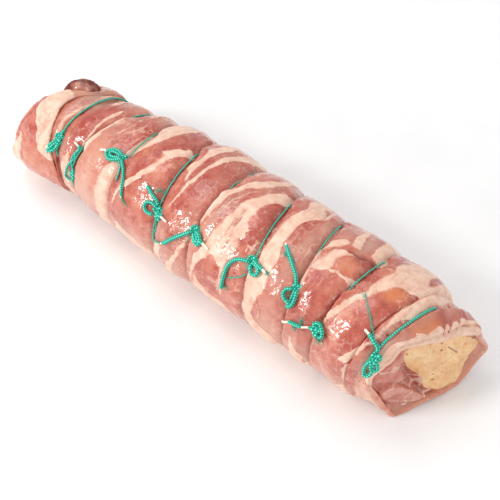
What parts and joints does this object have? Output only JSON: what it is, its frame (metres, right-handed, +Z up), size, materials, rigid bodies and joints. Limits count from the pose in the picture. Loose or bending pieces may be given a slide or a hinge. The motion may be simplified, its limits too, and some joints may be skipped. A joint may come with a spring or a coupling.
{
  "type": "stuffed pork tenderloin",
  "caption": "Long raw meat roll: a lean tenderloin round a pale stuffing, wrapped in overlapping streaky belly slices and tied at intervals with elastic cords, open and cut at one end.",
  "frame": {"origin": "middle of the roll's length and width, at the level of the surface it lies on", "axes": "+X along the roll towards the open, stuffed end, +Z up, +Y to the back, away from the side with the knots"},
  "size_m": [0.296, 0.0801, 0.0689],
  "materials": {
    "tenderloin_meat": "moist lean raw pork",
    "stuffing_cream": "soft, slightly glossy bread and meat filling with dark specks",
    "belly_meat": "wet raw pork belly, lean streaked with cream fat",
    "elastic_cord": "braided turquoise elastic cord with a white rubber core at the cut ends"
  },
  "bodies": {
    "root": {"tenderloin": "tenderloin_meat", "stuffing": "stuffing_cream", "belly_slice_01": "belly_meat", "belly_slice_02": "belly_meat", "belly_slice_03": "belly_meat", "belly_slice_04": "belly_meat", "belly_slice_05": "belly_meat", "belly_slice_06": "belly_meat", "belly_slice_07": "belly_meat", "belly_slice_08": "belly_meat", "belly_slice_09": "belly_meat", "belly_slice_10": "belly_meat", "tie_1": "elastic_cord", "tie_2": "elastic_cord", "tie_3": "elastic_cord", "tie_4": "elastic_cord", "tie_5": "elastic_cord", "tie_6": "elastic_cord", "tie_7": "elastic_cord", "tie_8": "elastic_cord", "tie_9": "elastic_cord"}
  },
  "joints": []
}
